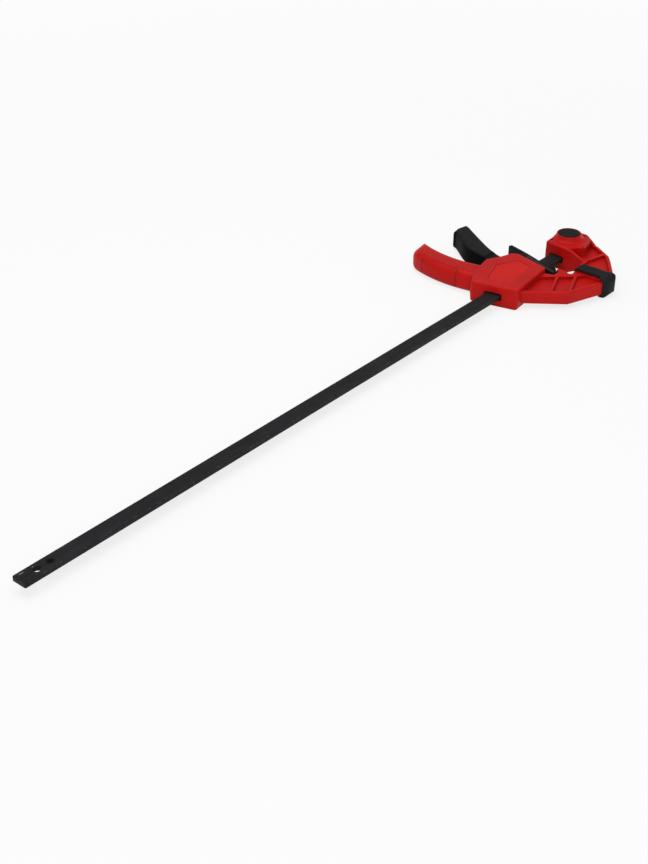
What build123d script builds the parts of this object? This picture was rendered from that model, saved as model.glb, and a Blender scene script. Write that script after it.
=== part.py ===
"""Quick release bar clamp, lying on its side.

Millimetres. The origin is the centre of the hanging hole at the bar's free end, on the bar's middle
plane. +X runs along the bar to the fixed jaw, +Y to the grip, +Z up, away from the flat underside.
"""
import os
from math import cos, radians, sin, tan

from build123d import *

os.makedirs("parts", exist_ok=True)

# ---------------------------------------------------------------- driving dimensions
# bar
bar_width = 12.5
bar_thickness = 3.8
bar_tail = 14.5                 # hanging hole to the free end
bar_nose = 13.0                 # lock hole to the end inside the fixed jaw
bar_edge = 0.35                 # broken edge along the bar
bar_corner = 1.2                # rounded corner in plan
hanging_hole = 6.0
lock_hole = 6.2
lock_x = 596.8                  # hanging hole to lock hole

# places along the bar, measured back from the lock hole
pad_plane_x = lock_x - 33.9     # where the closed pads meet
pivot_x = lock_x - 66.8         # trigger pivot, reference of the housing
inner_x = -19.3                 # fixed jaw's face towards the moving jaw, from the lock hole

# heights from the bar's middle plane
body_height = 9.2               # flat top and flat underside of the housing
base_depth = body_height        # underside of the fixed jaw, level with the housing
flange_height = 5.4             # flanges of both jaw arms
web_height = 2.8                # recessed web between the flanges
hub_height = 12.7               # flat top of the fixed jaw
boss_height = 17.0              # rim around the button

# walls and draft
draft = 6.0                     # degrees
flange = 3.0
jaw_root = 6.5                  # solid root of the arm behind the fixed pad
rib = 2.4
shell_wall = 2.45
rim_round = 1.2                 # soft edge of the housing's top and bottom
arm_round = 1.0                 # soft edges of both jaw arms
hub_chamfer = 1.5               # broken edge of the fixed jaw's top

# clearances
slip = 0.05                     # radial, pin in its bore
gap = 0.3                       # beside moving pieces
side_gap = 0.35                 # between the mechanism and the shells above and below it
fit = 0.1                       # around pieces that are seated for good
bar_gap = 0.45                  # around the bar in the housing
jaw_mouth = 1.1                 # around the bar where it enters the fixed jaw

# jaw pads
pad_gap = 0.4                   # between the closed pads
pad_face = 3.3
pad_lip = 2.2
pad_half = 8.7
pad_root_y = -30.0
pad_tip_y = -66.5
pad_back = 5.8                  # thickness of the strip
pad_cap_back = {1: 6.8, -1: 10.2}    # thickness around the jaw's tip, fixed and moving
pad_wall = 2.2                  # rubber behind the end of the tongue
arm_tip_y = {1: -60.4, -1: -61.6}   # outer side of the jaws' tips, fixed and moving
pad_cap_y = -58.5               # where the cap starts
pad_root_corner = 1.8           # seen from above
pad_nose = 6.0                  # seen from above
pad_end_round = 5.8             # seen along the bar
pad_round = 1.5

# release button
button_diameter = 18.8
button_head = 4.2
button_proud = 0.4
button_travel = 3.3
button_gap = 0.25
leg_width = 5.0
leg_thickness = 1.8
carrier_thickness = 1.8
carrier_width = 8.0
rivet_diameter = 3.0
stud_diameter = 5.8
stud_entry = 3.0                # how far the stud stands in the bar's hole
base_plate_thickness = 1.5
base_plate_width = 18.0
boss_top_radius = 10.4
boss_neck_radius = 10.9
boss_foot_radius = 15.5
boss_neck = 1.3                 # straight rim above the flare

# trigger
trigger_pin_diameter = 3.5
trigger_pin_y = -9.3
trigger_eye = 3.8
pin_cover = 0.9                 # plastic left over each end of the pin
finger_half = 8.0               # half the thickness of the finger piece, outside the housing
finger_shoulder_y = 37.0        # where the finger piece starts to thicken
trigger_round = 2.6
trigger_tip_round = 1.5         # corners of the tip, seen from above
fork_y = 9.2                    # top of the slot between the trigger's cheeks

# drive
plate_thickness = 3.0
plate_low_y = -11.5
plate_high_y = 14.5
plate_corner = 1.2
nose_x = pivot_x - 8.6          # trigger nose that pushes the plates
drive_seat_x = pivot_x - 34.0   # spring seat in the housing

# brake
brake_x = pivot_x + 10.9        # foot of the brake plate, its fulcrum
brake_y = -20.5
brake_lean = 19.0               # degrees from square to the bar, at rest
brake_thickness = 2.4
brake_length = 37.0
lever_thickness = 3.0
lever_foot = 1.2
lever_length = 64.5
lever_neck = 43.0               # where the lever starts to narrow
heel_low = 5.8                  # thick heel of the lever, measured up the plate
heel_high = 13.8
heel_corner = 3.0
heel_thickness = 3.0            # beyond the lever's own thickness
window_low = 14.3               # window for the bar, measured up the plate
window_high = 29.9
window_half = 2.6

# springs
drive_coil = 6.4
drive_wire = 0.9
drive_turns = 4
drive_spring_y = 11.0
brake_coil = 5.2
brake_wire = 0.8
brake_turns = 3
brake_spring_y = 10.9
brake_seat_x = pivot_x + 10.6
button_coil = 9.6
button_wire = 1.0
button_turns = 3

# screws
screw_diameter = 3.0
screw_head = 5.6
screw_head_height = 2.0
screw_sink = 3.0
screw_reach = 5.5

# palm pad and plain plate
palm_thickness = 2.2
palm_low_y = 40.5
palm_high_y = 78.0
badge_depth = 0.8
badge_thickness = 0.6
badge_corner = 1.5

# ---------------------------------------------------------------- derived
half_width = bar_width / 2
half_thick = bar_thickness / 2
bar_end_x = lock_x + bar_nose
body_plane = Plane((pivot_x, 0, 0))
jaw_plane = Plane((lock_x, 0, 0))
cavity_half = body_height - shell_wall
trigger_half = cavity_half - side_gap
plate_half = cavity_half - 2 * side_gap
lever_half = plate_half - fit
trigger_pin_half = body_height - pin_cover
lean = radians(brake_lean)
tongue_half = pad_half - pad_lip
tongue_tip_y = pad_tip_y + pad_lip

# ---------------------------------------------------------------- bar
with BuildPart() as bar:
    with BuildSketch(Plane.XY.offset(-half_thick)) as bar_plan:
        with Locations(((bar_end_x - bar_tail) / 2, 0)):
            Rectangle(bar_end_x + bar_tail, bar_width)
        fillet(bar_plan.vertices(), bar_corner)
    extrude(amount=bar_thickness)
    chamfer(bar.faces().filter_by(Axis.Z).edges(), bar_edge)
    Hole(hanging_hole / 2)
    with Locations((lock_x, 0)):
        Hole(lock_hole / 2)
bar.part.label = "bar"
export_step(bar.part, "parts/bar.step")


# ---------------------------------------------------------------- jaw pads and the tongues they sit on
def tongue(plane, seat_x, side):
    """Tip of a jaw under its pad, thicker than the arm. side points away from the pad's face."""
    root_x = seat_x + side * (pad_back - pad_face - 1.0)
    tip_x = seat_x + side * (pad_cap_back[side] - pad_face - 1.0)
    end_x = seat_x + side * (pad_cap_back[side] - pad_face - pad_wall - fit)
    with BuildPart() as tip:
        with BuildSketch(plane.offset(-tongue_half)):
            with BuildLine():
                Polyline((seat_x, pad_root_y - 2.6), (root_x, pad_root_y - 2.6), (root_x, pad_cap_y),
                         (tip_x, pad_cap_y), (tip_x, arm_tip_y[side]), (end_x, arm_tip_y[side]),
                         (end_x, tongue_tip_y), (seat_x, tongue_tip_y), close=True)
            make_face()
        extrude(amount=2 * tongue_half)
    return tip.part


for pad_name, side in (("fixed_jaw_pad", 1), ("moving_jaw_pad", -1)):
    face_x = pad_plane_x + side * pad_gap / 2
    back_x = face_x + side * pad_back
    cap_x = face_x + side * pad_cap_back[side]
    pocket_end_x = cap_x - side * pad_wall
    with BuildPart() as pad:
        with BuildSketch(Plane.XY.offset(-pad_half)) as pad_plan:
            with BuildLine():
                Polyline((back_x, pad_root_y), (face_x, pad_root_y), (face_x, pad_tip_y),
                         (cap_x, pad_tip_y + 0.1 * pad_nose), (cap_x, pad_cap_y),
                         (back_x, pad_cap_y + 0.3 * pad_nose), close=True)
            make_face()
            outer_corners = pad_plan.vertices().sort_by(lambda v: abs(v.X - face_x))
            fillet(outer_corners.sort_by(Axis.Y)[-2:].sort_by(lambda v: abs(v.X - face_x))[-1], pad_root_corner)
            nose_corner = pad_plan.vertices().sort_by(Axis.Y)[:2].sort_by(lambda v: abs(v.X - face_x))[-1]
            fillet(nose_corner, pad_nose)
        extrude(amount=2 * pad_half)
        fillet(pad.edges().filter_by(lambda e: abs(e.center().X - face_x) > 0.5
                                     and abs(abs(e.center().Z) - pad_half) < 0.01), pad_round)
        # ends rounded again, seen along the bar
        with BuildSketch(Plane.YZ.offset(pad_plane_x)):
            with Locations(((pad_root_y + pad_tip_y) / 2, 0)):
                RectangleRounded(pad_root_y - pad_tip_y, 2 * pad_half, pad_end_round)
        extrude(amount=side * 20.0, mode=Mode.INTERSECT)
        # pocket for the tongue, open at the back and at the root
        with BuildSketch(Plane.XY.offset(-tongue_half - fit)):
            with BuildLine():
                Polyline((face_x + side * (pad_face - fit), pad_root_y - 2.4),
                         (face_x + side * (pad_face - fit), tongue_tip_y - fit),
                         (pocket_end_x, tongue_tip_y - fit), (pocket_end_x, arm_tip_y[side] - fit),
                         (face_x + side * 20.0, arm_tip_y[side] - fit),
                         (face_x + side * 20.0, pad_root_y + 1.0),
                         (face_x + side * pad_face, pad_root_y + 1.0), close=True)
            make_face()
        extrude(amount=2 * (tongue_half + fit), mode=Mode.SUBTRACT)
    pad.part.label = pad_name
    export_step(pad.part, f"parts/{pad_name}.step")

# ---------------------------------------------------------------- fixed jaw
fixed_seat_x = pad_plane_x + pad_gap / 2 + pad_face - lock_x
jaw_outline = [
    (inner_x + 1.5, 12.0),
    (8.8, 13.5),
    (17.1, 7.0),
    (17.1, -14.0),
    (14.5, -22.0),
    (4.1, -38.6),
    (-3.9, -45.2),
    (-19.3, -56.6),
    (-25.4, arm_tip_y[1]),
    (fixed_seat_x, arm_tip_y[1]),
    (fixed_seat_x, pad_root_y - 2.5),
    (fixed_seat_x + 5.0, pad_root_y + 2.2),
    (inner_x - 0.9, -27.5),
    (inner_x - 0.5, -12.0),
]
hub_outline = [
    (inner_x + 1.5, 12.0),
    (8.8, 13.5),
    (17.1, 7.0),
    (16.5, -10.0),
    (12.6, -14.6),
    (-6.8, -20.8),
    (-11.3, -14.2),
    (inner_x - 0.5, -12.0),
]
button_bore = button_diameter / 2 + button_gap
button_top = boss_height + button_proud
core_places = [(-13.2, 9.3), (11.6, -8.6)]
boss_floor = button_top - button_head - button_travel - gap
spring_floor = 6.0
spring_bore = button_coil / 2 + 1.3
leg_y = half_width + 0.7                                    # inner face of a leg
slot_y = leg_y + leg_thickness + button_gap
base_plate_top = -base_depth + base_plate_thickness
base_plate_length = 2 * slot_y + 4.0

with BuildPart() as boss:
    with BuildSketch(Plane((lock_x, 0, 0), x_dir=(1, 0, 0), z_dir=(0, -1, 0))):
        with BuildLine():
            Line((boss_neck_radius, boss_height - boss_neck), (boss_top_radius, boss_height))
            Polyline((boss_top_radius, boss_height), (0, boss_height), (0, hub_height - 1.0),
                     (boss_foot_radius, hub_height - 1.0), (boss_foot_radius, hub_height))
            ThreePointArc((boss_foot_radius, hub_height), (boss_neck_radius + 1.1, hub_height + 1.1),
                          (boss_neck_radius, boss_height - boss_neck))
        make_face()
    revolve(axis=Axis((lock_x, 0, 0), (0, 0, 1)))
    with BuildSketch(jaw_plane):
        with BuildLine():
            Polyline(hub_outline, close=True)
        make_face()
        offset(amount=-hub_chamfer, kind=Kind.INTERSECTION)
    extrude(amount=boss_height + 1, mode=Mode.INTERSECT)

with BuildPart() as fixed_jaw:
    # arm, an I-section with a flange along both edges
    with BuildSketch(jaw_plane.offset(-flange_height)) as arm:
        with BuildLine():
            Polyline(jaw_outline, close=True)
        make_face()
        fillet(arm.vertices(), 2.0)
    extrude(amount=2 * flange_height)
    fillet(fixed_jaw.faces().filter_by(Axis.Z).edges(), arm_round)
    # pockets between the flanges, with one rib across and a solid root behind the pad
    for face in (1, -1):
        with BuildSketch(jaw_plane.offset(face * web_height)) as pockets:
            with BuildLine():
                Polyline(jaw_outline, close=True)
            make_face()
            offset(amount=-flange, kind=Kind.INTERSECTION)
            with BuildLine():
                Polyline(hub_outline, close=True)
            make_face(mode=Mode.SUBTRACT)
            with Locations(Location((-3.0, -31.5), -14.5)):
                Rectangle(40.0, rib, mode=Mode.SUBTRACT)
            with Locations((fixed_seat_x, -45.0)):
                Rectangle(2 * jaw_root, 42.0, mode=Mode.SUBTRACT)
        extrude(amount=face * (flange_height - web_height + 1.0), mode=Mode.SUBTRACT)
    add(tongue(jaw_plane, fixed_seat_x, 1))
    # hub around the bar
    with BuildSketch(jaw_plane.offset(-base_depth)) as hub:
        with BuildLine():
            Polyline(hub_outline, close=True)
        make_face()
        fillet(hub.vertices(), 2.5)
    extrude(amount=base_depth + hub_height)
    chamfer(fixed_jaw.faces().sort_by(Axis.Z)[-1].edges(), hub_chamfer)
    # buttresses that run from the hub's top down to the flanges
    with BuildSketch(Plane((lock_x + inner_x - 0.9, 0, 0), x_dir=(0, 1, 0), z_dir=(1, 0, 0))):
        with BuildLine():
            Polyline((-11.0, flange_height - 1), (-11.0, hub_height - hub_chamfer),
                     (-14.0, hub_height - hub_chamfer), (-27.5, flange_height), (-27.5, flange_height - 1),
                     close=True)
        make_face()
        with BuildLine():
            Polyline((-11.0, 1 - flange_height), (-11.0, -base_depth), (-13.0, -base_depth),
                     (-20.5, -flange_height), (-20.5, 1 - flange_height), close=True)
        make_face()
    extrude(amount=flange)
    with BuildSketch(Plane((lock_x + 16.1, -10.0, 0), x_dir=(0, -1, 0), z_dir=(-1, 0, 0))):
        with BuildLine():
            Polyline((-2.0, flange_height - 1), (-2.0, hub_height - hub_chamfer),
                     (0.5, hub_height - hub_chamfer), (8.0, flange_height), (8.0, flange_height - 1),
                     close=True)
        make_face()
    extrude(amount=flange)
    # boss for the button, flared out over the hub's top
    add(boss.part)
    # bore for the button's head, pocket for its spring, channels for its legs
    with BuildSketch(jaw_plane.offset(boss_floor)):
        Circle(button_bore)
    extrude(amount=boss_height - boss_floor + 1, mode=Mode.SUBTRACT)
    with BuildSketch(jaw_plane.offset(spring_floor)):
        Circle(spring_bore)
    extrude(amount=boss_floor - spring_floor, mode=Mode.SUBTRACT)
    with BuildSketch(jaw_plane.offset(base_plate_top)):
        for face in (1, -1):
            with Locations((0, face * (half_width + slot_y) / 2)):
                Rectangle(leg_width + 2 * button_gap, slot_y - half_width)
    extrude(amount=boss_floor - base_plate_top, mode=Mode.SUBTRACT)
    # way for the bar, chamber for the stud carrier, seat for the base plate
    with BuildSketch(Plane.YZ.offset(lock_x + inner_x - 6.0)):
        Rectangle(bar_width + 2 * fit, bar_thickness + 2 * fit)
    extrude(amount=bar_end_x + fit - (lock_x + inner_x - 6.0), mode=Mode.SUBTRACT)
    with BuildSketch(Plane.YZ.offset(lock_x + inner_x - 6.0)):
        RectangleRounded(bar_width + 2 * jaw_mouth, bar_thickness + 2 * jaw_mouth, jaw_mouth)
    extrude(amount=8.5, mode=Mode.SUBTRACT)
    with BuildSketch(jaw_plane.offset(base_plate_top)):
        Rectangle(carrier_width + 4 * button_gap, 2 * slot_y)
    extrude(amount=-half_thick - base_plate_top, mode=Mode.SUBTRACT)
    with BuildSketch(jaw_plane.offset(-base_depth)):
        RectangleRounded(base_plate_width + 2 * fit, base_plate_length + 2 * fit, 2.0)
    extrude(amount=base_plate_thickness, mode=Mode.SUBTRACT)
    # two core recesses in the hub's top beside the boss
    with BuildSketch(jaw_plane.offset(hub_height - 1.6)):
        with Locations(*core_places):
            Circle(1.5)
    extrude(amount=3.0, mode=Mode.SUBTRACT)
fixed_jaw.part.label = "fixed_jaw"
export_step(fixed_jaw.part, "parts/fixed_jaw.step")

with BuildPart() as jaw_base_plate:
    with BuildSketch(jaw_plane.offset(-base_depth)):
        RectangleRounded(base_plate_width, base_plate_length, 2.0 - fit)
    extrude(amount=base_plate_thickness - fit)
    chamfer(jaw_base_plate.faces().sort_by(Axis.Z)[0].edges(), 0.3)
jaw_base_plate.part.label = "jaw_base_plate"
export_step(jaw_base_plate.part, "parts/jaw_base_plate.step")

# ---------------------------------------------------------------- release button and its lock
carrier_top = -half_thick - gap

with BuildPart() as release_button:
    with BuildSketch(jaw_plane.offset(button_top - button_head)):
        Circle(button_diameter / 2)
    extrude(amount=button_head)
    fillet(release_button.faces().sort_by(Axis.Z)[-1].edges(), 0.6)
    with BuildSketch(jaw_plane.offset(carrier_top)):
        for face in (1, -1):
            with Locations((0, face * (leg_y + leg_thickness / 2))):
                Rectangle(leg_width, leg_thickness)
    extrude(amount=button_top - button_head - carrier_top)
release_button.part.label = "release_button"
export_step(release_button.part, "parts/release_button.step")

with BuildPart() as stud_carrier:
    with BuildSketch(jaw_plane.offset(carrier_top - carrier_thickness)):
        Rectangle(carrier_width, 2 * (leg_y + leg_thickness))
        Circle(rivet_diameter / 2, mode=Mode.SUBTRACT)
    extrude(amount=carrier_thickness)
stud_carrier.part.label = "stud_carrier"
export_step(stud_carrier.part, "parts/stud_carrier.step")

with BuildPart() as lock_stud:
    with BuildSketch(jaw_plane.offset(carrier_top)):
        Circle(stud_diameter / 2)
    extrude(amount=gap + stud_entry)
    chamfer(lock_stud.faces().sort_by(Axis.Z)[-1].edges(), 0.5)
    with BuildSketch(jaw_plane.offset(carrier_top - carrier_thickness)):
        Circle(rivet_diameter / 2)
    extrude(amount=carrier_thickness)
lock_stud.part.label = "lock_stud"
export_step(lock_stud.part, "parts/lock_stud.step")


def coil_spring(name, start, direction, length, coil, wire, turns):
    """A compression spring that stands at start and runs along direction."""
    pitch = (length - wire) / turns
    start = Vector(*start) + Vector(*direction) * (wire / 2)
    with BuildPart() as spring:
        with BuildLine() as centre_line:
            Helix(pitch, turns * pitch, (coil - wire) / 2, center=start, direction=direction)
        with BuildSketch(Plane(centre_line.line @ 0, z_dir=centre_line.line % 0)):
            RegularPolygon(wire / 2, 5)
        sweep(is_frenet=True)
    spring.part.label = name
    export_step(spring.part, f"parts/{name}.step")


coil_spring("button_spring", (lock_x, 0, spring_floor + gap), (0, 0, 1),
            button_top - button_head - spring_floor - 2 * gap, button_coil, button_wire, button_turns)

# ---------------------------------------------------------------- housing
block_outline = [
    (-52.6, 19.6),
    (-42.3, -21.0),
    (11.0, -14.5),
    (19.0, 19.0),
    (15.8, 25.0),
    (3.0, 29.0),
    (-8.0, 35.0),
    (-18.0, 33.0),
    (-40.0, 26.0),
]
moving_seat_x = pad_plane_x - pad_gap / 2 - pad_face - pivot_x
hook_x = 23.2                   # front of the hook that holds the brake's foot
hook_y = -18.6                  # top of the hook
notch_x = 18.3                  # rear of the hook
notch_y = brake_y - 1.3         # floor of the notch
arm_outline = [
    (-38.0, -15.0),
    (-11.0, -50.2),
    (19.2, -60.8),
    (22.0, arm_tip_y[-1]),
    (moving_seat_x, arm_tip_y[-1]),
    (moving_seat_x, pad_root_y - 1.8),
    (21.0, -32.6),
    (20.3, -29.6),
    (hook_x, -27.0),
    (hook_x, hook_y),
    (notch_x, hook_y),
    (notch_x, notch_y),
    (brake_x - pivot_x - 0.5, notch_y),
    (5.0, -9.0),
]
pocket_outline = [              # its walls stand one flange further in
    (-38.0, -15.0),
    (-11.0, -50.2),
    (moving_seat_x - 0.5, -64.1),
    (moving_seat_x - 0.5, -41.0),
    (20.6, -35.5),
    (-4.0, -8.4),
]
grip_near = [(-39.5, 21.0), (-43.8, 56.0), (-36.6, 93.0)]
grip_far = [(-11.6, 97.5), (-20.4, 56.0), (-14.6, 23.0)]
grip_near_corner = 13.0
grip_far_corner = 7.2
grip_round = 6.5
badge_outline = [(-38.0, 12.0), (-13.0, 21.0), (7.0, 12.0), (3.0, -3.5), (-33.5, -8.0)]
screw_places = [(-36.5, -13.5), (-43.5, 13.6), (-27.5, 33.5), (-25.5, 84.5), (13.2, 19.6)]
grip_screws = screw_places[3:4]
bevel_foot = (-43.5, -10.0)     # lower end of the bevel under the rear corner
bevel_turn = radians(13.0)
bevel_rise = radians(4.0)
bevel_reach = 20.0
bevel_length = 34.0
mouth_rear_x = -15.4            # mouth of the trigger in the housing
mouth_front_x = 8.2
chamber_rear_x = -33.0
chamber_low_y = -13.2


def grip_form(inset):
    """Upper half of the grip, with its outline and height drawn in by inset."""
    with BuildPart() as form:
        with BuildSketch(body_plane) as plan:
            with BuildLine():
                ThreePointArc(*grip_near)
                Line(grip_near[2], grip_far[0])
                ThreePointArc(*grip_far)
                Line(grip_far[2], grip_near[0])
            make_face()
            ends = plan.vertices().sort_by(Axis.Y)[-2:].sort_by(Axis.X)
            fillet(ends[0], grip_near_corner)
            fillet(ends[1], grip_far_corner)
            if inset:
                offset(amount=-inset, mode=Mode.REPLACE)
        extrude(amount=body_height - inset)
        top = form.faces().sort_by(Axis.Z)[-1]
        fillet(top.edges().sort_by(Axis.Y)[1:], grip_round - inset)
    return form.part


grip_outer = grip_form(0)

with BuildPart() as block_form:
    with BuildSketch(body_plane) as block:
        with BuildLine():
            Polyline(block_outline, close=True)
        make_face()
        fillet(block.vertices(), 3.5)
    extrude(amount=body_height, taper=draft)
    fillet(block_form.faces().sort_by(Axis.Z)[-1].edges(), rim_round)

with BuildPart() as arm_form:
    with BuildSketch(body_plane) as arm_plan:
        with BuildLine():
            Polyline(arm_outline, close=True)
        make_face()
        fillet(arm_plan.vertices().filter_by(lambda v: v.Y < -24 or abs(v.Y - hook_y) < 0.01), 1.2)
    extrude(amount=flange_height)
    fillet(arm_form.faces().sort_by(Axis.Z)[-1].edges(), arm_round)

with BuildPart() as upper_half:
    add(grip_outer)
    add(arm_form.part)
    # pockets in the arm, parted by two ribs
    with BuildSketch(body_plane.offset(web_height)):
        with BuildLine():
            Polyline(pocket_outline, close=True)
        make_face()
        offset(amount=-flange, kind=Kind.INTERSECTION)
        with Locations(Location((-5.7, -32.3), 22.0), Location((4.6, -43.7), 22.0)):
            Rectangle(60.0, rib, mode=Mode.SUBTRACT)
    extrude(amount=flange_height, mode=Mode.SUBTRACT)
    add(tongue(body_plane, moving_seat_x, -1))
    # block around the mechanism
    add(block_form.part)
    # hollow grip, with a post for its screw
    add(grip_form(shell_wall), mode=Mode.SUBTRACT)
    with BuildSketch(body_plane):
        with Locations(*grip_screws):
            Circle(screw_head / 2 + gap + 1.2)
    extrude(amount=cavity_half + 0.5)
    # chamber for the mechanism, open to the trigger, and the front recess for the brake
    with BuildSketch(body_plane):
        with BuildLine():
            Polyline((chamber_rear_x, chamber_low_y), (mouth_front_x, chamber_low_y), (mouth_front_x, 40.0),
                     (mouth_rear_x, 40.0), (mouth_rear_x, 16.5), (chamber_rear_x, 16.5), close=True)
        make_face()
        with BuildLine():
            Polyline((brake_x - pivot_x - 0.5, notch_y), (notch_x, notch_y), (40.0, 30.0), (18.6, 22.5),
                     close=True)
        make_face()
    extrude(amount=cavity_half, mode=Mode.SUBTRACT)
    split(bisect_by=Plane.XY, keep=Keep.TOP)
    # way for the bar, wider where the bar enters
    with BuildSketch(Plane.YZ.offset(pivot_x - 60.0)):
        Rectangle(bar_width + 2 * bar_gap, bar_thickness + 2 * bar_gap)
    extrude(amount=90.0, mode=Mode.SUBTRACT)
    with BuildSketch(Plane.YZ.offset(pivot_x - 60.0)):
        RectangleRounded(bar_width + 6 * bar_gap, bar_thickness + 6 * bar_gap, 1.6)
    extrude(amount=18.0, mode=Mode.SUBTRACT)
    # seats of the two springs
    with BuildSketch(Plane.YZ.offset(drive_seat_x)):
        with Locations((drive_spring_y, 0)):
            Circle(drive_coil / 2 + gap)
    extrude(amount=4.0, mode=Mode.SUBTRACT)
    with BuildSketch(Plane.YZ.offset(brake_seat_x)):
        with Locations((brake_spring_y, 0)):
            Circle(brake_coil / 2 + gap)
    extrude(amount=12.0, mode=Mode.SUBTRACT)
    # bearing of the trigger's pin
    with BuildSketch(body_plane):
        with Locations((0, trigger_pin_y)):
            Circle(trigger_pin_diameter / 2 + slip)
    extrude(amount=trigger_pin_half + slip, mode=Mode.SUBTRACT)

# ---------------------------------------------------------------- palm pad
palm_x = -39.6                  # seam on the grip's side, from the trigger pivot


def palm_space(margin):
    """Region of the grip that the palm pad takes, drawn in by margin."""
    with BuildPart() as space:
        with BuildSketch(body_plane):
            with BuildLine():
                Polyline((-60.0, palm_low_y + margin), (palm_x - margin, palm_low_y + margin),
                         (palm_x - margin, palm_high_y - margin), (-60.0, palm_high_y - margin), close=True)
            make_face()
        extrude(amount=body_height + 1)
    return space.part


palm_cut = palm_space(0) - grip_form(palm_thickness)

with BuildPart() as grip_pad:
    add(grip_outer)
    add(grip_form(palm_thickness - fit), mode=Mode.SUBTRACT)
    add(palm_space(fit), mode=Mode.INTERSECT)
    mirror(about=Plane.XY)
grip_pad.part.label = "grip_pad"
export_step(grip_pad.part, "parts/grip_pad.step")

# ---------------------------------------------------------------- housing shells
with BuildPart() as housing_top_shell:
    add(upper_half.part)
    add(palm_cut, mode=Mode.SUBTRACT)
    # shallow recess for the plain plate
    with BuildSketch(body_plane.offset(body_height - badge_depth)) as recess:
        with BuildLine():
            Polyline(badge_outline, close=True)
        make_face()
        fillet(recess.vertices(), badge_corner)
    extrude(amount=2 * badge_depth, mode=Mode.SUBTRACT)
    # pilot holes of the screws
    with BuildSketch(body_plane):
        with Locations(*screw_places):
            Circle(screw_diameter / 2 + slip)
    extrude(amount=screw_reach + 0.5, mode=Mode.SUBTRACT)
housing_top_shell.part.label = "housing_top_shell"
export_step(housing_top_shell.part, "parts/housing_top_shell.step")

with BuildPart() as housing_bottom_shell:
    add(upper_half.part.mirror(Plane.XY))
    add(palm_cut.mirror(Plane.XY), mode=Mode.SUBTRACT)
    # clearance holes and sunk seats for the screw heads
    with BuildSketch(body_plane.offset(-body_height)):
        with Locations(*screw_places):
            Circle(screw_diameter / 2 + 3 * slip)
    extrude(amount=body_height, mode=Mode.SUBTRACT)
    with BuildSketch(body_plane.offset(-body_height)):
        with Locations(*screw_places):
            Circle(screw_head / 2 + gap)
    extrude(amount=screw_sink, mode=Mode.SUBTRACT)
    # bevel under the rear corner, so that the housing stands on its front corner and the grip
    with BuildSketch(Plane((pivot_x + bevel_foot[0], bevel_foot[1], -body_height),
                           x_dir=(-cos(bevel_turn), sin(bevel_turn), 0),
                           z_dir=(sin(bevel_turn), cos(bevel_turn), 0))):
        with BuildLine():
            Polyline((0, 0), (bevel_reach, bevel_reach * tan(bevel_rise)), (bevel_reach, -1.0), (0, -1.0),
                     close=True)
        make_face()
    extrude(amount=bevel_length, mode=Mode.SUBTRACT)
housing_bottom_shell.part.label = "housing_bottom_shell"
export_step(housing_bottom_shell.part, "parts/housing_bottom_shell.step")

with BuildPart() as badge_plate:
    with BuildSketch(body_plane.offset(body_height - badge_depth)) as badge:
        with BuildLine():
            Polyline(badge_outline, close=True)
        make_face()
        offset(amount=-2 * fit, mode=Mode.REPLACE)
        fillet(badge.vertices(), badge_corner)
    extrude(amount=badge_thickness)
badge_plate.part.label = "badge_plate"
export_step(badge_plate.part, "parts/badge_plate.step")

head_base = -body_height + screw_sink - screw_head_height
with BuildPart() as housing_screws:
    with BuildSketch(body_plane.offset(head_base)):
        with Locations(*screw_places):
            Circle(screw_head / 2)
    extrude(amount=screw_head_height)
    with BuildSketch(body_plane.offset(head_base + screw_head_height)):
        with Locations(*screw_places):
            Circle(screw_diameter / 2)
    extrude(amount=screw_reach - head_base - screw_head_height)
    # cross recess in each head
    with BuildSketch(body_plane.offset(head_base)):
        with Locations(*screw_places):
            Rectangle(screw_head * 0.62, 0.7)
            Rectangle(0.7, screw_head * 0.62)
    extrude(amount=screw_head_height * 0.55, mode=Mode.SUBTRACT)
housing_screws.part.label = "housing_screws"
export_step(housing_screws.part, "parts/housing_screws.step")

# ---------------------------------------------------------------- trigger
with BuildPart() as trigger_pin:
    with BuildSketch(body_plane.offset(-trigger_pin_half)):
        with Locations((0, trigger_pin_y)):
            Circle(trigger_pin_diameter / 2)
    extrude(amount=2 * trigger_pin_half)
    chamfer(trigger_pin.edges().filter_by(GeomType.CIRCLE), gap)
trigger_pin.part.label = "trigger_pin"
export_step(trigger_pin.part, "parts/trigger_pin.step")

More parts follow.
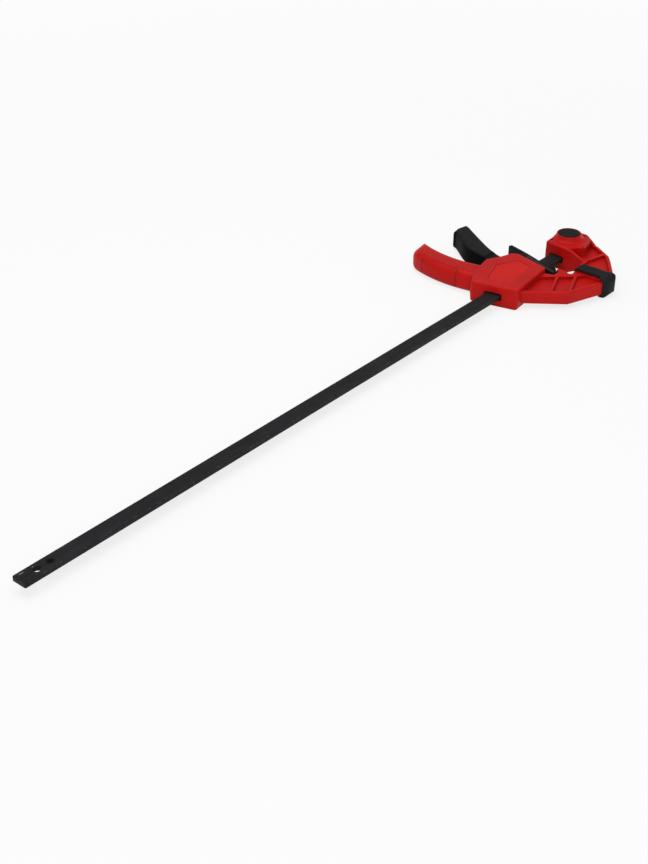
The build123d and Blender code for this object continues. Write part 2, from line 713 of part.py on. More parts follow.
finger_y = 24.0                 # where the finger piece meets the lever inside the housing
with BuildPart() as trigger:
    # finger piece, curved away from the grip
    with BuildSketch(body_plane.offset(-finger_half)) as finger:
        with BuildLine():
            Spline((-6.0, finger_y), (-4.3, 42.0), (-0.8, 56.5), (8.4, 72.0), (19.5, 86.0),
                   tangents=((-0.05, 1), (0.72, 1)))
            Polyline((19.5, 86.0), (21.0, 90.0), (29.0, 91.6), (40.2, 89.6))
            Spline((40.2, 89.6), (35.0, 80.0), (24.5, 63.5), (13.0, 44.0), (6.5, finger_y),
                   tangents=((-0.35, -1), (-0.2, -1)))
            Line((6.5, finger_y), (-6.0, finger_y))
        make_face()
        fillet(finger.vertices().sort_by(Axis.Y)[-4:], trigger_tip_round)
    extrude(amount=2 * finger_half)
    fillet(trigger.edges().filter_by(lambda e: abs(abs(e.center().Z) - finger_half) < 0.01
                                     and e.center().Y > finger_y + 0.5), trigger_round)
    # thinner where it enters the housing
    for face in (1, -1):
        with BuildSketch(Plane.YZ.offset(pivot_x - 30.0)):
            with BuildLine():
                Polyline((finger_y - 1.0, face * trigger_half), (finger_shoulder_y, face * trigger_half),
                         (finger_shoulder_y + 4.0, face * (finger_half + 0.5)),
                         (finger_y - 1.0, face * (finger_half + 0.5)), close=True)
            make_face()
        extrude(amount=60.0, mode=Mode.SUBTRACT)
    # lever inside the housing: nose against the drive plates, eye around the pin
    with BuildSketch(body_plane.offset(-trigger_half)):
        with BuildLine():
            Polyline((-6.0, finger_y), (-7.6, 15.0), (nose_x - pivot_x, 12.5), (nose_x - pivot_x, fork_y),
                     (-4.6, 4.0), (-trigger_eye, trigger_pin_y), (trigger_eye, trigger_pin_y),
                     (6.0, 10.0), (6.5, finger_y), close=True)
        make_face()
        with Locations((0, trigger_pin_y)):
            Circle(trigger_eye)
    extrude(amount=2 * trigger_half)
    # slot that lets the bar pass between the two cheeks
    with BuildSketch(body_plane.offset(-half_thick - bar_gap)):
        with Locations((0, fork_y - 20.0)):
            Rectangle(60.0, 40.0)
    extrude(amount=2 * (half_thick + bar_gap), mode=Mode.SUBTRACT)
    with BuildSketch(body_plane.offset(-trigger_half)):
        with Locations((0, trigger_pin_y)):
            Circle(trigger_pin_diameter / 2 + slip)
    extrude(amount=2 * trigger_half, mode=Mode.SUBTRACT)
trigger.part.label = "trigger"
export_step(trigger.part, "parts/trigger.step")

# ---------------------------------------------------------------- drive plates and their spring
front_plate_x = nose_x - gap - plate_thickness
rear_plate_x = front_plate_x - plate_thickness

for plate_name, plate_x in (("drive_plate_front", front_plate_x), ("drive_plate_rear", rear_plate_x)):
    with BuildPart() as drive_plate:
        with BuildSketch(Plane.YZ.offset(plate_x)) as plate_face:
            with Locations(((plate_low_y + plate_high_y) / 2, 0)):
                RectangleRounded(plate_high_y - plate_low_y, 2 * plate_half, plate_corner)
            Rectangle(bar_width + 2 * gap, bar_thickness + 2 * gap, mode=Mode.SUBTRACT)
        extrude(amount=plate_thickness)
    drive_plate.part.label = plate_name
    export_step(drive_plate.part, f"parts/{plate_name}.step")

coil_spring("drive_spring", (drive_seat_x + gap, drive_spring_y, 0), (1, 0, 0),
            rear_plate_x - drive_seat_x - 2 * gap, drive_coil, drive_wire, drive_turns)

# ---------------------------------------------------------------- brake plate, release lever, brake spring
# plane of the brake plate's rear face: its X runs up the plate from the foot, its Y along +Z
brake_face = Plane((brake_x, brake_y, 0), x_dir=(sin(lean), cos(lean), 0), z_dir=(cos(lean), -sin(lean), 0))

# plane square to it, for the plate's edge profile: its X runs up the plate, its Y rearwards
brake_edge = Plane((brake_x, brake_y, -plate_half), x_dir=(sin(lean), cos(lean), 0), z_dir=(0, 0, 1))
foot_radius = brake_thickness / 2

with BuildPart() as brake_plate:
    # round foot that rolls in the housing's notch
    with BuildSketch(brake_edge):
        with Locations((foot_radius, -foot_radius)):
            Circle(foot_radius)
        with Locations(((foot_radius + brake_length) / 2, -foot_radius)):
            Rectangle(brake_length - foot_radius, brake_thickness)
    extrude(amount=2 * plate_half)
    with BuildSketch(brake_face):
        with Locations(((window_low + window_high) / 2, 0)):
            Rectangle(window_high - window_low, 2 * window_half)
    extrude(amount=brake_thickness, mode=Mode.SUBTRACT)
brake_plate.part.label = "brake_plate"
export_step(brake_plate.part, "parts/brake_plate.step")

with BuildPart() as release_lever:
    with BuildSketch(brake_face.offset(brake_thickness)) as lever_face:
        with BuildLine():
            Polyline((lever_foot, -lever_half), (lever_neck, -lever_half), (lever_length, -lever_half + 1.0),
                     (lever_length, lever_half - 1.0), (lever_neck, lever_half), (lever_foot, lever_half),
                     close=True)
        make_face()
        fillet(lever_face.vertices(), 1.5)
        with Locations(((window_low + window_high) / 2 + 0.6, 0)):
            Rectangle(window_high - window_low + 1.2, 2 * window_half, mode=Mode.SUBTRACT)
    extrude(amount=lever_thickness)
    front_face = release_lever.faces().sort_by(Axis(brake_face.origin, brake_face.z_dir))[-1]
    fillet(front_face.outer_wire().edges(), 0.9)
    # heel below the bar
    with BuildSketch(brake_face.offset(brake_thickness + lever_thickness / 2)) as heel:
        with Locations(((heel_low + heel_high) / 2, 0)):
            RectangleRounded(heel_high - heel_low, 2 * lever_half, heel_corner)
    extrude(amount=lever_thickness / 2 + heel_thickness)
    # shoulder that rests on the plate's head
    with BuildSketch(brake_face.offset(brake_thickness / 4)):
        with Locations(((brake_length + fit + lever_neck) / 2, 0)):
            Rectangle(lever_neck - brake_length - fit, 2 * lever_half)
    extrude(amount=brake_thickness)
release_lever.part.label = "release_lever"
export_step(release_lever.part, "parts/release_lever.step")

brake_reach = brake_x + (brake_spring_y - brake_coil / 2 - brake_y) * tan(lean) - gap
coil_spring("brake_spring", (brake_seat_x + gap, brake_spring_y, 0), (1, 0, 0),
            brake_reach - brake_seat_x - gap, brake_coil, brake_wire, brake_turns)
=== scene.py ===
"""The quick release bar clamp as it looks: red moulded nylon, black trigger and pads, black oxide bar.

Metres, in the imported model's frame: the origin is the centre of the bar's hanging hole, +X runs along
the bar to the fixed jaw, +Y to the grip, +Z up.
"""

import bpy
import numpy as np
from mathutils import Matrix, Vector


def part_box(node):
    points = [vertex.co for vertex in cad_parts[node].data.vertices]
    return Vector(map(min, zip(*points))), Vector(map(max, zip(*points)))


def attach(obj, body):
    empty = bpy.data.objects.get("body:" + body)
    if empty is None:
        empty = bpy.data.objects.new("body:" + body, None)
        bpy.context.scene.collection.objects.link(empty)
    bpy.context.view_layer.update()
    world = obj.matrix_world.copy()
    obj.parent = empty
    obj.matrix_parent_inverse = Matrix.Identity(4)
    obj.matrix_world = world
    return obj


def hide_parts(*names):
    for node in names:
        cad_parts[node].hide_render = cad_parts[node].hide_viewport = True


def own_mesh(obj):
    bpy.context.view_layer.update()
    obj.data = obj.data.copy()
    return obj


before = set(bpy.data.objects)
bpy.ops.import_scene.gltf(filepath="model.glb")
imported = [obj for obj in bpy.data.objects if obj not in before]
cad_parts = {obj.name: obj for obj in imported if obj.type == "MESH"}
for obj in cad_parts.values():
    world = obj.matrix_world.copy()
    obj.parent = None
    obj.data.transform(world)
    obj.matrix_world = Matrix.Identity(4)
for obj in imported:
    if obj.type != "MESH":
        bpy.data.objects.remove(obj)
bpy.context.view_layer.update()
mm = 0.001
melt_drift = 34 * mm    # how far the colour of a moulding drifts before it turns back


# ---------------------------------------------------------------- colours and nodes
def linear(colour):
    """An sRGB hex colour as the linear RGBA that the shaders take."""
    srgb = np.array([int(colour[i:i + 2], 16) for i in (1, 3, 5)]) / 255
    rgb = np.where(srgb <= 0.04045, srgb / 12.92, ((srgb + 0.055) / 1.055) ** 2.4)
    return (*rgb.tolist(), 1.0)


def add(tree, kind, settings=None, links=None):
    """Adds a node. Settings are its properties or its inputs' values, links are the sockets that feed it."""
    made = tree.nodes.new("ShaderNode" + kind)
    for key, value in (settings or {}).items():
        if isinstance(key, str) and hasattr(made, key):
            setattr(made, key, value)
        else:
            made.inputs[key].default_value = value
    for key, socket in (links or {}).items():
        tree.links.new(socket, made.inputs[key])
    return made


def new_material(name):
    """An empty material with its tree, its shader and the place on the piece."""
    made = bpy.data.materials.new(name)
    made.use_nodes = True
    tree = made.node_tree
    shader = tree.nodes["Principled BSDF"]
    place = add(tree, "TexCoord").outputs["Object"]
    return made, tree, shader, place


def edge_and_hollow(tree, radius, reach):
    """Where the surface turns a corner within radius, how open it lies within reach, and its eased normal."""
    corner_from, corner_full = 0.985, 0.86      # cosines between the eased normal and the true one
    eased = add(tree, "Bevel", {"samples": 6, "Radius": radius}).outputs["Normal"]
    true = add(tree, "NewGeometry").outputs["Normal"]
    along = add(tree, "VectorMath", {"operation": "DOT_PRODUCT"}, {0: eased, 1: true}).outputs["Value"]
    corner = add(tree, "MapRange", {"From Min": corner_from, "From Max": corner_full},
                 {"Value": along}).outputs["Result"]
    openness = add(tree, "AmbientOcclusion", {"samples": 8, "Distance": reach}).outputs["AO"]
    crest = add(tree, "Math", {"operation": "MULTIPLY"}, {0: corner, 1: openness}).outputs["Value"]
    return crest, openness, eased


def line_across(tree, place, axis, at, colour, tint, dark_half, faded_half, strength):
    """The colour with a tinted line drawn across it where the place's axis coordinate is at."""
    reading = add(tree, "SeparateXYZ", {}, {"Vector": place}).outputs[axis]
    apart = add(tree, "Math", {"operation": "SUBTRACT", 1: at}, {0: reading}).outputs["Value"]
    apart = add(tree, "Math", {"operation": "ABSOLUTE"}, {0: apart}).outputs["Value"]
    line = add(tree, "MapRange", {"From Min": faded_half, "From Max": dark_half, "To Max": strength},
               {"Value": apart}).outputs["Result"]
    return add(tree, "Mix", {"data_type": "RGBA", "B": linear(tint)},
               {"Factor": line, "A": colour}).outputs["Result"]


def moulded(name, body, deep_and_shade, rubbed, roughness, grain=0.8 * mm, grain_height=0.06 * mm, mottling=0.045,
            edge_wear_and_shade=0.5, patchy=(0.42, 0.66), seam=False, gloss_level=0.11, shut_and_shade="#4A0403", shut_lines=(),
            shaded_side=None):
    """Injection-moulded plastic: spark-eroded grain, slow colour drift, rubbed edges, painted shade in
    hollows.

    The grain breaks the highlight up and is drawn about three times as coarse as the real 0.3 mm so that
    it shows, and its pits are a little darker than its crests. The drift comes from the melt's flow, and
    seam draws the line where the two halves of the mould or of the housing meet, on the middle plane.
    Hollows are painted darker as shade. The rubbed tone is paler wear on most pieces, and a painted shade
    along the edges of the grip's soft skin; it breaks up where the patches' noise lies under patchy's
    range. shut_lines are heights along Y of dark lines where a soft skin ends, and shaded_side is the
    direction of a side that is painted darker as shade and is left rougher.
    """
    made, tree, shader, place = new_material(name)
    crest, openness, eased = edge_and_hollow(tree, 0.55 * mm, 7 * mm)
    flow = add(tree, "TexNoise", {"Scale": 1 / melt_drift, "Detail": 3.0, "Roughness": 0.55},
               {"Vector": place})
    specks = add(tree, "TexNoise", {"Scale": 1 / grain, "Detail": 2.0}, {"Vector": place})
    patches = add(tree, "TexNoise", {"Scale": 1 / (4 * mm), "Detail": 4.0, "Roughness": 0.65},
                  {"Vector": place})
    drifted = add(tree, "MapRange", {"From Min": 0.35, "From Max": 0.7, "To Max": 0.45},
                  {"Value": flow.outputs["Fac"]})
    colour = add(tree, "Mix", {"data_type": "RGBA", "A": linear(body), "B": linear(deep_and_shade)},
                 {"Factor": drifted.outputs["Result"]})
    # painted shade: the surface is darkened towards the deep colour where it lies in a hollow, by ambient
    # occlusion
    hollow_shade = add(tree, "MapRange", {"From Min": 1.0, "From Max": 0.25, "To Max": 0.55}, {"Value": openness})
    colour = add(tree, "Mix", {"data_type": "RGBA", "B": linear(deep_and_shade)},
                 {"Factor": hollow_shade.outputs["Result"], "A": colour.outputs["Result"]})
    mottle = add(tree, "MapRange", {"From Min": 0.32, "From Max": 0.68, "To Min": 1 - mottling,
                                    "To Max": 1 + mottling}, {"Value": specks.outputs["Fac"]})
    colour = add(tree, "HueSaturation", {}, {"Value": mottle.outputs["Result"],
                                             "Color": colour.outputs["Result"]}).outputs["Color"]
    if seam:
        colour = line_across(tree, place, "Z", 0.0, colour, deep_and_shade, 0.07 * mm, 0.16 * mm, 0.6)
    for line_y in shut_lines:
        colour = line_across(tree, place, "Y", line_y, colour, shut_and_shade, 0.3 * mm, 0.65 * mm, 0.5)
    # rubbed edges: paler wear on most pieces; on the grip's soft skin the rubbed tone is dark, a painted
    # shade along the seam round it
    broken = add(tree, "MapRange", {"From Min": patchy[0], "From Max": patchy[1], "To Max": edge_wear_and_shade},
                 {"Value": patches.outputs["Fac"]})
    worn = add(tree, "Math", {"operation": "MULTIPLY"}, {0: crest, 1: broken.outputs["Result"]})
    colour = add(tree, "Mix", {"data_type": "RGBA", "B": linear(rubbed)},
                 {"Factor": worn.outputs["Value"], "A": colour}).outputs["Result"]
    gloss = add(tree, "MapRange", {"From Min": 0.3, "From Max": 0.7, "To Min": roughness - 0.05,
                                   "To Max": roughness + 0.08}, {"Value": patches.outputs["Fac"]})
    relief = add(tree, "Bump", {"Strength": 1.0, "Distance": grain_height},
                 {"Height": specks.outputs["Fac"], "Normal": eased})
    # painted shade: the side facing shaded_side is darkened towards the shut colour, nearly black on the
    # trigger, and made rougher
    if shaded_side:
        facing = add(tree, "VectorMath", {"operation": "DOT_PRODUCT", 1: shaded_side}, {0: eased})
        side_shade = add(tree, "MapRange", {"From Min": 0.35, "From Max": 0.75}, {"Value": facing.outputs["Value"]})
        colour = add(tree, "Mix", {"data_type": "RGBA", "B": linear(shut_and_shade)},
                     {"Factor": side_shade.outputs["Result"], "A": colour}).outputs["Result"]
        gloss = add(tree, "MapRange", {"To Max": 0.85},
                    {"Value": side_shade.outputs["Result"], "To Min": gloss.outputs["Result"]})
    tree.links.new(colour, shader.inputs["Base Color"])
    tree.links.new(gloss.outputs["Result"], shader.inputs["Roughness"])
    tree.links.new(relief.outputs["Normal"], shader.inputs["Normal"])
    shader.inputs["IOR"].default_value = 1.53
    shader.inputs["Specular IOR Level"].default_value = gloss_level
    return made


def near_point(tree, place, middle, half):
    """One near middle, falling to zero at the edge of an ellipsoid with the half sizes half."""
    near = add(tree, "VectorMath", {"operation": "SUBTRACT", 1: middle}, {0: place})
    near = add(tree, "VectorMath", {"operation": "DIVIDE", 1: half}, {0: near.outputs["Vector"]})
    near = add(tree, "VectorMath", {"operation": "LENGTH"}, {0: near.outputs["Vector"]})
    return add(tree, "MapRange", {"From Min": 1.0, "From Max": 0.5},
               {"Value": near.outputs["Value"]}).outputs["Result"]


def steel(name, body, bare, metallic, roughness, draw, wear, edge=0.35 * mm, scuffs=(), punch_shades=(),
          gloss_level=0.5):
    """Steel with a drawn or rolled surface: fine lines along the bar, bright metal where edges are rubbed.

    draw is how many of the lines' noise cells fit in a metre along each axis, so the smallest runs along
    the drawing. scuffs are short rubbed strokes, and punches are dark spots of painted shade standing for
    the inside of shallow punched hollows that are not cut, each a middle point and its half sizes.
    """
    made, tree, shader, place = new_material(name)
    crest, openness, eased = edge_and_hollow(tree, edge, 5 * mm)
    drawn = add(tree, "Mapping", {"Scale": draw}, {"Vector": place})
    lines = add(tree, "TexNoise", {"Scale": 1.0, "Detail": 5.0, "Roughness": 0.6},
                {"Vector": drawn.outputs["Vector"]})
    cloud = add(tree, "TexNoise", {"Scale": 1 / (18 * mm), "Detail": 5.0, "Roughness": 0.62},
                {"Vector": place})
    patches = add(tree, "TexNoise", {"Scale": 1 / (2.4 * mm), "Detail": 4.0, "Roughness": 0.7},
                  {"Vector": place})
    broken = add(tree, "MapRange", {"From Min": 0.46, "From Max": 0.62, "To Max": wear},
                 {"Value": patches.outputs["Fac"]})
    worn = add(tree, "Math", {"operation": "MULTIPLY"}, {0: crest, 1: broken.outputs["Result"]})
    worn = worn.outputs["Value"]
    for middle, half in scuffs:
        spot = near_point(tree, place, middle, half)
        torn = add(tree, "MapRange", {"From Min": 0.4, "From Max": 0.5, "To Max": 0.9},
                   {"Value": patches.outputs["Fac"]})
        spot = add(tree, "Math", {"operation": "MULTIPLY"}, {0: spot, 1: torn.outputs["Result"]})
        worn = add(tree, "Math", {"operation": "MAXIMUM"}, {0: worn, 1: spot.outputs["Value"]})
        worn = worn.outputs["Value"]
    shade = add(tree, "MapRange", {"From Min": 0.3, "From Max": 0.7, "To Min": 0.78, "To Max": 1.15},
                {"Value": cloud.outputs["Fac"]})
    streak = add(tree, "MapRange", {"From Min": 0.35, "From Max": 0.7, "To Min": 0.9, "To Max": 1.25},
                 {"Value": lines.outputs["Fac"]})
    shade = add(tree, "Math", {"operation": "MULTIPLY"},
                {0: shade.outputs["Result"], 1: streak.outputs["Result"]})
    # painted shade: each punch spot darkens the tone towards near black, for the inside of a punched hollow
    # that is not cut
    for middle, half in punch_shades:
        spot = near_point(tree, place, middle, half)
        dark = add(tree, "MapRange", {"To Min": 1.0, "To Max": 0.12}, {"Value": spot})
        shade = add(tree, "Math", {"operation": "MULTIPLY"},
                    {0: shade.outputs["Value"], 1: dark.outputs["Result"]})
    tone = add(tree, "HueSaturation", {"Color": linear(body)}, {"Value": shade.outputs["Value"]})
    colour = add(tree, "Mix", {"data_type": "RGBA", "B": linear(bare)},
                 {"Factor": worn, "A": tone.outputs["Color"]})
    gloss = add(tree, "MapRange", {"From Min": 0.3, "From Max": 0.7, "To Min": roughness - 0.07,
                                   "To Max": roughness + 0.09}, {"Value": lines.outputs["Fac"]})
    relief = add(tree, "Bump", {"Strength": 1.0, "Distance": 0.012 * mm},
                 {"Height": lines.outputs["Fac"], "Normal": eased})
    tree.links.new(colour.outputs["Result"], shader.inputs["Base Color"])
    tree.links.new(gloss.outputs["Result"], shader.inputs["Roughness"])
    tree.links.new(relief.outputs["Normal"], shader.inputs["Normal"])
    shader.inputs["Metallic"].default_value = metallic
    shader.inputs["Specular IOR Level"].default_value = gloss_level
    return made


# glass-filled nylon from an eroded mould: a strong red with an even satin and a faint parting line
red_nylon = moulded("glass_filled_nylon_red_moulded", "#C4130F", "#990806", "#DB5246", 0.40, seam=True)
# ABS from a polished mould: brighter and smoother than the housing round it
red_plate = moulded("abs_red_polished_insert", "#CF1812", "#B4100B", "#E0645A", 0.30, grain=0.3 * mm,
                    grain_height=0.006 * mm, mottling=0.02, edge_wear_and_shade=0.3, gloss_level=0.09)
# soft elastomer moulded into the grip: a duller red, with a dark line where its skin ends, and its edges
# painted dark as the shade of the seam round it
skin_edge = 0.35 * mm
pad_low, pad_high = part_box("grip_pad")
red_overmould = moulded("tpe_red_overmould", "#C3120F", "#960807", "#5E0504", 0.52,
                        grain_height=0.07 * mm, edge_wear_and_shade=0.8, patchy=(0.25, 0.5), seam=True,
                        shut_lines=(pad_low[1] + skin_edge, pad_high[1] - skin_edge))
# black glass-filled nylon: a dark satin with greyed edges
black_nylon = moulded("glass_filled_nylon_black_moulded", "#121215", "#0A0A0C", "#4B4B50", 0.42,
                      grain_height=0.07 * mm, edge_wear_and_shade=0.45, gloss_level=0.08)
# the same nylon on the trigger, whose back, towards the grip, is rougher and painted nearly black as shade
trigger_nylon = moulded("glass_filled_nylon_black_trigger", "#151517", "#0B0B0D", "#515155", 0.42,
                        grain_height=0.07 * mm, edge_wear_and_shade=0.45, gloss_level=0.08, shut_and_shade="#050506",
                        shaded_side=(-0.97, -0.24, 0.0))
# moulded polyurethane: a cool dark grey, duller than the blacks beside it
grey_rubber = moulded("tpu_pad_dark_grey_moulded", "#1A1E20", "#0F1112", "#4A4F52", 0.56,
                      grain_height=0.07 * mm, edge_wear_and_shade=0.3)
bar_top = 1.9 * mm
bar_scuffs = (
    ((-9.2 * mm, 3.7 * mm, bar_top), (2.6 * mm, 0.5 * mm, 1.2 * mm)),
    ((24.5 * mm, 6.0 * mm, bar_top), (3.2 * mm, 0.7 * mm, 1.2 * mm)),
    ((-0.5 * mm, 3.5 * mm, bar_top), (0.7 * mm, 0.5 * mm, 1.0 * mm)),
)
# painted shade: a dark spot beside the hole, for the inside of a punched hollow that the bar's mesh does not
# have
bar_punch_shades = (((10.5 * mm, -0.2 * mm, bar_top), (3.5 * mm, 3.3 * mm, 1.2 * mm)),)
# rolled flat steel with a black oxide skin: near black, faint long lines, worn grey along the edges
black_oxide = steel("carbon_steel_black_oxide", "#272729", "#8A8380", 0.08, 0.44, draw=(9, 700, 700),
                    wear=0.75, edge=0.5 * mm, scuffs=bar_scuffs, punch_shades=bar_punch_shades, gloss_level=0.05)
even_draw = (500, 500, 500)
# bright zinc on small turned and stamped pieces: pale grey metal
zinc_plate = steel("steel_zinc_plated", "#A9ABAD", "#C9CACB", 1.0, 0.32, draw=even_draw, wear=0.5)
# stamped plate with a black oxide skin, worn bright along the sheared edges
dark_plate = steel("steel_plate_black_oxide", "#2E2E31", "#85847F", 0.75, 0.42, draw=even_draw, wear=0.6)
# hard drawn wire: plain bright metal
spring_wire = steel("spring_steel_drawn_wire", "#8F9194", "#B5B6B8", 1.0, 0.30, draw=even_draw, wear=0.3)

finish_of = {
    "bar": black_oxide,
    "fixed_jaw": red_nylon,
    "fixed_jaw_pad": grey_rubber,
    "jaw_base_plate": zinc_plate,
    "release_button": black_nylon,
    "stud_carrier": zinc_plate,
    "lock_stud": zinc_plate,
    "housing_top_shell": red_nylon,
    "housing_bottom_shell": red_nylon,
    "badge_plate": red_plate,
    "grip_pad": red_overmould,
    "moving_jaw_pad": grey_rubber,
    "trigger_pin": zinc_plate,
    "trigger": trigger_nylon,
    "drive_plate_front": dark_plate,
    "drive_plate_rear": dark_plate,
    "brake_plate": dark_plate,
    "release_lever": black_nylon,
}
for name, finish in finish_of.items():
    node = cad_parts[name]
    node.data.materials.clear()
    node.data.materials.append(finish)


# ---------------------------------------------------------------- surfaces
def surface(name, points, finish, body):
    """A mesh from rows x columns of points, closed round its columns, with its first and last row capped."""
    rows, columns, _ = points.shape
    row, column = np.meshgrid(np.arange(rows - 1), np.arange(columns), indexing="ij")
    following = (column + 1) % columns
    quads = np.stack([row * columns + column, row * columns + following,
                      (row + 1) * columns + following, (row + 1) * columns + column], axis=-1)
    faces = quads.reshape(-1, 4).tolist()
    faces.append(np.arange(columns)[::-1].tolist())
    faces.append((np.arange(columns) + (rows - 1) * columns).tolist())
    mesh = bpy.data.meshes.new(name)
    mesh.from_pydata(points.reshape(-1, 3).tolist(), [], faces)
    mesh.materials.append(finish)
    mesh.shade_smooth()
    piece = bpy.data.objects.new(name, mesh)
    bpy.context.collection.objects.link(piece)
    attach(piece, body)
    return piece


def coil(name, start, along, length, outside, wire, turns, body):
    """A compression spring with closed ends.

    The wire's middle line is a helix of even turns. Its height hardly rises over the first and last three
    quarters of a turn, which lie closed, and climbs evenly between them. Each ring of points is a circle
    square to that line.
    """
    steps_a_turn = 30
    around = 14
    creep = 0.04            # share of the climb that the closed turns take part in
    along = Vector(along)
    side = along.orthogonal().normalized()
    frame_axes = np.array([side, along.cross(side), along])
    t = np.linspace(0, 1, int(turns * steps_a_turn) + 1)
    closed = 0.75 / turns
    climb = np.clip((t - closed) / (1 - 2 * closed), 0, 1)
    height = wire / 2 + (length - wire) * (creep * t + (1 - creep) * climb)
    angle = 2 * np.pi * turns * t
    radius = (outside - wire) / 2
    middle = np.stack([radius * np.cos(angle), radius * np.sin(angle), height], axis=1)
    heading = np.gradient(middle, axis=0)
    heading /= np.linalg.norm(heading, axis=1, keepdims=True)
    outward = np.stack([np.cos(angle), np.sin(angle), np.zeros_like(angle)], axis=1)
    across = np.cross(heading, outward)
    turn = np.linspace(0, 2 * np.pi, around, endpoint=False)[None, :, None]
    rings = middle[:, None] + wire / 2 * (np.cos(turn) * outward[:, None] + np.sin(turn) * across[:, None])
    points = np.array(start) + rings @ frame_axes
    return surface(name, points, spring_wire, body)


def spring_for(node, axis, body, wire, turns):
    """A coil in the place that the node's box gives, along axis number axis, with that box's corners."""
    low, high = (np.array(corner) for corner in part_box(node))
    start = (low + high) / 2
    start[axis] = low[axis]
    others = [i for i in range(3) if i != axis]
    outside = max(high[i] - low[i] for i in others)
    along = np.eye(3)[axis]
    made = coil(node + "_coil", start, along, high[axis] - low[axis], outside, wire, turns, body)
    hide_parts(node)
    return made, low, high


drive_coil, drive_low, drive_high = spring_for("drive_spring", 0, "housing", 0.9 * mm, 6.5)
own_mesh(drive_coil)
brake_coil, brake_low, brake_high = spring_for("brake_spring", 0, "housing", 0.8 * mm, 5.5)
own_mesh(brake_coil)
button_coil, button_low, button_high = spring_for("button_spring", 2, "bar", 1.0 * mm, 4.5)
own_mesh(button_coil)


def screw(name, middle, body):
    """A pan-head screw, head down, turned from one profile.

    Its rows run from the head's middle outwards over a shallow dome, round its rim by a quarter turn, up
    the shank and in to the tip. The cross recess raises the dome's points by a depth that falls outwards,
    wherever they lie near one of two crossed strokes. The thread is the shank's radius times a squared
    cosine of height over pitch less the angle round.
    """
    head_low, head_top, tip = -8.2 * mm, -6.2 * mm, 5.5 * mm
    head_radius, shank_radius = 2.8 * mm, 1.5 * mm
    thread_pitch, thread_root = 1.2 * mm, 0.74
    recess_depth = 1.0 * mm
    around, dome_rows, rim_rows, shank_rows = 96, 26, 6, 60
    turn = np.linspace(0, 2 * np.pi, around, endpoint=False)
    face = np.linspace(0.02, 0.86, dome_rows)
    rim = np.linspace(0, np.pi / 2, rim_rows + 1)[1:]
    rows_r = [*(head_radius * face), *(head_radius * (0.86 + 0.14 * np.sin(rim)))]
    dome = 0.22 * (head_top - head_low)
    rows_z = [*(head_low + dome * 0.4 * face ** 2), *(head_low + dome * (0.4 + 2.0 * (1 - np.cos(rim))))]
    shank = np.linspace(head_top, tip - shank_radius, shank_rows)
    rows_r += [head_radius, *np.full(shank_rows, shank_radius), 0.4 * shank_radius, 0.02 * shank_radius]
    rows_z += [head_top, *shank, tip - 0.1 * shank_radius, tip]
    r = np.array(rows_r)[:, None] * np.ones(around)
    z = np.array(rows_z)[:, None] * np.ones(around)
    x, y = r * np.cos(turn), r * np.sin(turn)
    stroke = 0.16 * head_radius
    reach = 0.62 * head_radius
    near = np.clip((stroke - np.minimum(abs(x), abs(y))) / (0.35 * stroke), 0, 1)
    inside = np.clip((reach - np.maximum(abs(x), abs(y))) / (0.15 * reach), 0, 1)
    recess = recess_depth * near * inside * (1 - 0.45 * np.hypot(x, y) / reach)
    z[:dome_rows] += recess[:dome_rows]
    shank_from = dome_rows + rim_rows + 1
    on_shank = slice(shank_from, shank_from + shank_rows)
    ridge = 0.5 + 0.5 * np.cos(2 * np.pi * z[on_shank] / thread_pitch - turn)
    r[on_shank] = shank_radius * (thread_root + (1 - thread_root) * ridge ** 2)
    points = np.stack([middle[0] + r * np.cos(turn), middle[1] + r * np.sin(turn), z], axis=-1)
    return surface(name, points[:, ::-1], zinc_plate, body)


pivot_x = 530 * mm
# from the trigger's pivot, in millimetres
screw_places = ((-36.5, -13.5), (-43.5, 13.6), (-27.5, 33.5), (-25.5, 84.5), (13.2, 19.6))
screws = [screw(f"housing_screw_{number}", (pivot_x + x * mm, y * mm), "housing")
          for number, (x, y) in enumerate(screw_places, start=1)]
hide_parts("housing_screws")

# ---------------------------------------------------------------- floor, light and camera
floor_z = -9.25 * mm        # just under the housing's flat side
floor_half = 6.0
floor_mesh = bpy.data.meshes.new("floor")
floor_mesh.from_pydata([(-floor_half, -floor_half, floor_z), (floor_half, -floor_half, floor_z),
                        (floor_half, floor_half, floor_z), (-floor_half, floor_half, floor_z)],
                       [], [(0, 1, 2, 3)])
floor = bpy.data.objects.new("floor", floor_mesh)
bpy.context.collection.objects.link(floor)


def straight_rays(tree):
    """One for rays that see the room from the camera, in a gloss or through glass, zero for its light."""
    rays = add(tree, "LightPath")
    seen = add(tree, "Math", {"operation": "MAXIMUM"},
               {0: rays.outputs["Is Camera Ray"], 1: rays.outputs["Is Transmission Ray"]})
    return add(tree, "Math", {"operation": "MAXIMUM"},
               {0: seen.outputs["Value"], 1: rays.outputs["Is Glossy Ray"]}).outputs["Value"]


paper = bpy.data.materials.new("paper_white_matt")
paper.use_nodes = True
tree = paper.node_tree
tree.nodes.clear()
straight = straight_rays(tree)
# a share of white near the part, where the shadow shows, and all white far away, so that the floor meets
# the room without a line
part_middle = (0.3, 0.0, 0.0)
shadow_reach, white_from = 0.45, 1.5
near_white = 0.77
away = add(tree, "VectorMath", {"operation": "DISTANCE", 1: part_middle},
           {0: add(tree, "TexCoord").outputs["Object"]})
glowing = add(tree, "MapRange", {"From Min": shadow_reach, "From Max": white_from,
                                 "To Min": near_white, "To Max": 1.0}, {"Value": away.outputs["Value"]})
seen = add(tree, "Math", {"operation": "MULTIPLY"}, {0: straight, 1: glowing.outputs["Result"]})
matt = add(tree, "BsdfDiffuse", {"Color": linear("#F2F2F2")})
glow = add(tree, "Emission", {"Color": (1, 1, 1, 1), "Strength": 1.0})
mixed = add(tree, "MixShader", {}, {0: seen.outputs["Value"], 1: matt.outputs["BSDF"],
                                    2: glow.outputs["Emission"]})
add(tree, "OutputMaterial", {}, {"Surface": mixed.outputs["Shader"]})
floor_mesh.materials.append(paper)

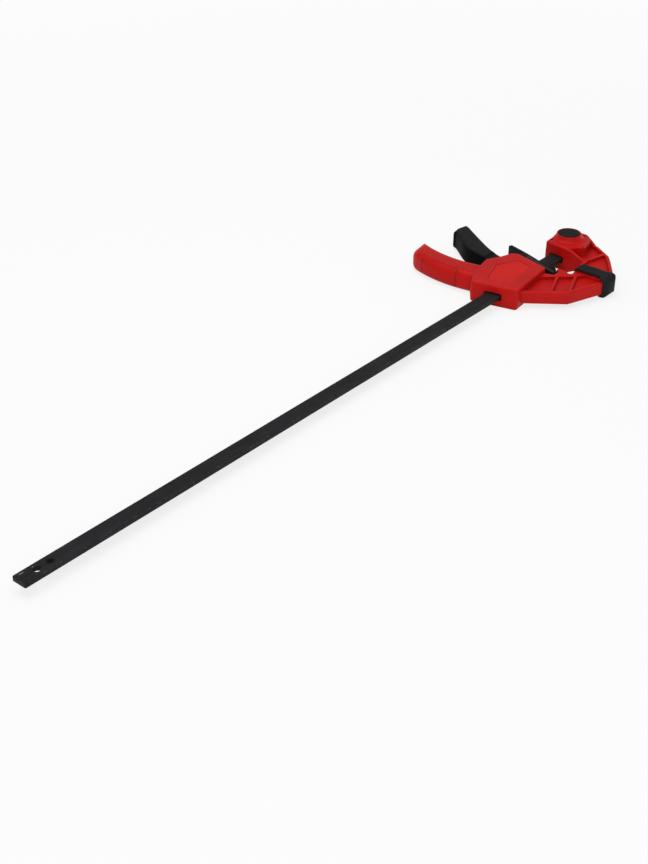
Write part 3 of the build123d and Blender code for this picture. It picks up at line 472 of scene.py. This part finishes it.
world = bpy.data.worlds.new("studio")
bpy.context.scene.world = world
world.use_nodes = True
tree = world.node_tree
tree.nodes.clear()
# seen directly or in a gloss, the room is white near the floor and greyer overhead
white_below, grey_above = 0.05, 0.4
room_light, overhead_grey = 0.5, 0.25
direction = add(tree, "TexCoord").outputs["Generated"]
upward = add(tree, "SeparateXYZ", {}, {"Vector": direction}).outputs["Z"]
backdrop = add(tree, "MapRange", {"From Min": white_below, "From Max": grey_above, "To Min": 1.0,
                                  "To Max": overhead_grey}, {"Value": upward}).outputs["Result"]
strength = add(tree, "MapRange", {"To Min": room_light},
               {"Value": straight_rays(tree), "To Max": backdrop})
sky = add(tree, "Background", {"Color": (1, 1, 1, 1)}, {"Strength": strength.outputs["Result"]})
add(tree, "OutputWorld", {}, {"Surface": sky.outputs["Background"]})


def softbox(name, place, target, size, power):
    """A square area lamp that faces target."""
    lamp = bpy.data.lights.new(name, "AREA")
    lamp.shape = "SQUARE"
    lamp.size = size
    lamp.energy = power
    made = bpy.data.objects.new(name, lamp)
    made.location = place
    made.rotation_mode = "QUATERNION"
    made.rotation_quaternion = (Vector(target) - Vector(place)).to_track_quat("-Z", "Y")
    bpy.context.collection.objects.link(made)


lit_middle = (0.45, 0.0, 0.0)
softbox("overhead", (0.30, 0.25, 1.5), lit_middle, size=1.3, power=11.5)
softbox("front_fill", (-0.9, -1.0, 0.9), lit_middle, size=1.0, power=7.0)

camera_place = (-0.41942, -0.587913, 0.545117)
camera_forward = Vector((0.6421932, 0.54823865, -0.5357446))
camera_up = Vector((0.40746051, 0.34784797, 0.84438008))
lens = bpy.data.cameras.new("camera")
lens.sensor_width = 36.0
lens.sensor_fit = "AUTO"
lens.lens = 60.417
lens.clip_start = 0.01
lens.clip_end = 20.0
camera = bpy.data.objects.new("camera", lens)
bpy.context.collection.objects.link(camera)
axes = Matrix((camera_forward.cross(camera_up), camera_up, -camera_forward)).transposed()
camera.matrix_world = Matrix.Translation(camera_place) @ axes.to_4x4()
bpy.context.scene.camera = camera

bpy.context.scene.view_settings.view_transform = "Standard"
